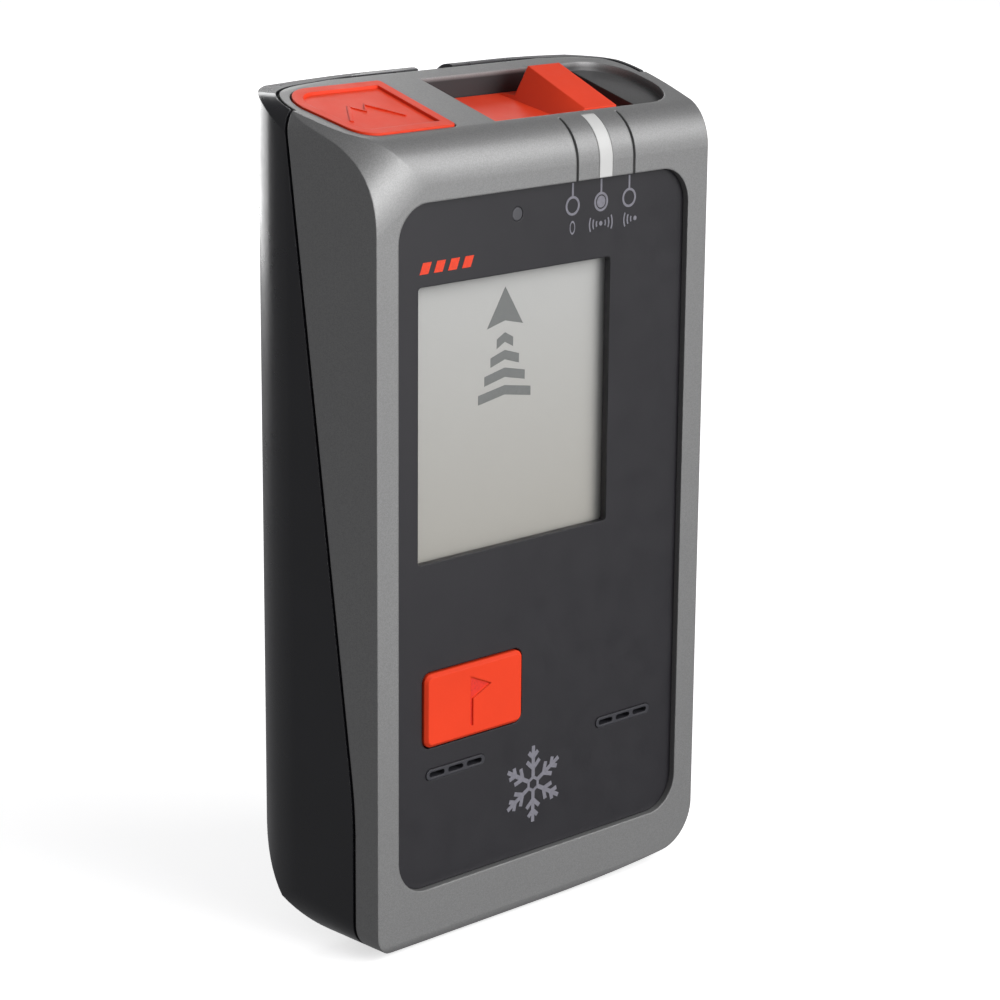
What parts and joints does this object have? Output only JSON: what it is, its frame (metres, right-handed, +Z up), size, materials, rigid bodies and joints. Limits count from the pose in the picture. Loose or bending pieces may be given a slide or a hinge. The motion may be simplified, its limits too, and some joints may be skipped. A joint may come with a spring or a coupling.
{
  "type": "avalanche transceiver",
  "caption": "Handheld avalanche transceiver: slanted two-part housing with a sloped top, display window, sliding mode switch, press button, leash plug and battery door.",
  "frame": {"origin": "centre of the flat back face", "axes": "+X to the right seen from the display side, +Y out of the back, +Z up towards the mode switch; the display faces -Y"},
  "size_m": [0.0662, 0.027, 0.1152],
  "materials": {
    "silver_paint": "satin metallic paint, fine flake",
    "black_gloss": "smooth, glossy black",
    "dark_lock": "satin",
    "gasket": "matt",
    "panel": "satin anthracite",
    "lens": "clear",
    "lcd": "grey reflective display",
    "light_guide": "milky",
    "inner_plastic": "moulded",
    "grille": "satin",
    "white_mark": "satin white",
    "orange_rubber": "soft touch",
    "orange_plastic": "satin",
    "steel": "bare",
    "circuit": "solder mask",
    "chip": "matt black",
    "battery_jacket": "satin sleeve",
    "ferrite": "sintered",
    "copper": "enamelled copper wire"
  },
  "bodies": {
    "housing": {"antenna_coil_cross": "copper", "antenna_coil_depth": "copper", "antenna_coil_upright": "copper", "antenna_core_cross": "ferrite", "antenna_core_depth": "ferrite", "antenna_core_upright": "ferrite", "backlight": "light_guide", "battery_1": "battery_jacket", "battery_2": "battery_jacket", "battery_3": "battery_jacket", "battery_contacts_left": "steel", "battery_contacts_right": "steel", "battery_door_seal": "gasket", "battery_springs": "steel", "detent_leaf": "steel", "display_lens": "lens", "dome_switch": "steel", "front_housing": "silver_paint", "front_panel": "panel", "housing_screws": "steel", "housing_seal": "gasket", "lcd_holder": "inner_plastic", "lcd_module": "lcd", "leash_bar": "steel", "leash_socket": "inner_plastic", "light_pipe": "light_guide", "main_board": "circuit", "processor": "chip", "rear_housing": "black_gloss", "send_marker": "white_mark", "shield_can": "steel", "sound_grille_left": "grille", "sound_grille_right": "grille", "speaker": "chip", "status_led": "light_guide", "switch_board": "circuit", "vibration_motor": "steel"},
    "mode_slider": {"mode_slider": "orange_plastic", "slider_magnet": "steel"},
    "flag_button": {"flag_button": "orange_rubber"},
    "leash_plug": {"leash_plug": "orange_plastic"},
    "battery_door": {"battery_door": "black_gloss"},
    "door_lock": {"door_lock": "dark_lock"}
  },
  "joints": [
    {"name": "mode_slide", "type": "slide", "parent": "housing", "child": "mode_slider", "axis": [1, 0, 0], "range_m": [-0.00535, 0.00535]},
    {"name": "flag_press", "type": "slide", "parent": "housing", "child": "flag_button", "axis": [0, 1, 0], "range_m": [0, 0.0008], "stiffness_N_per_m": 1500},
    {"name": "plug_lift", "type": "slide", "parent": "housing", "child": "leash_plug", "axis": [0, 0, 1], "range_m": [0, 0.012]},
    {"name": "door_lift", "type": "slide", "parent": "housing", "child": "battery_door", "axis": [0, 1, 0], "range_m": [0, 0.012]},
    {"name": "lock_turn", "type": "hinge", "parent": "battery_door", "child": "door_lock", "pos_m": [0, 0, 0.0047], "axis": [0, 1, 0], "range_deg": [0, 90]}
  ]
}
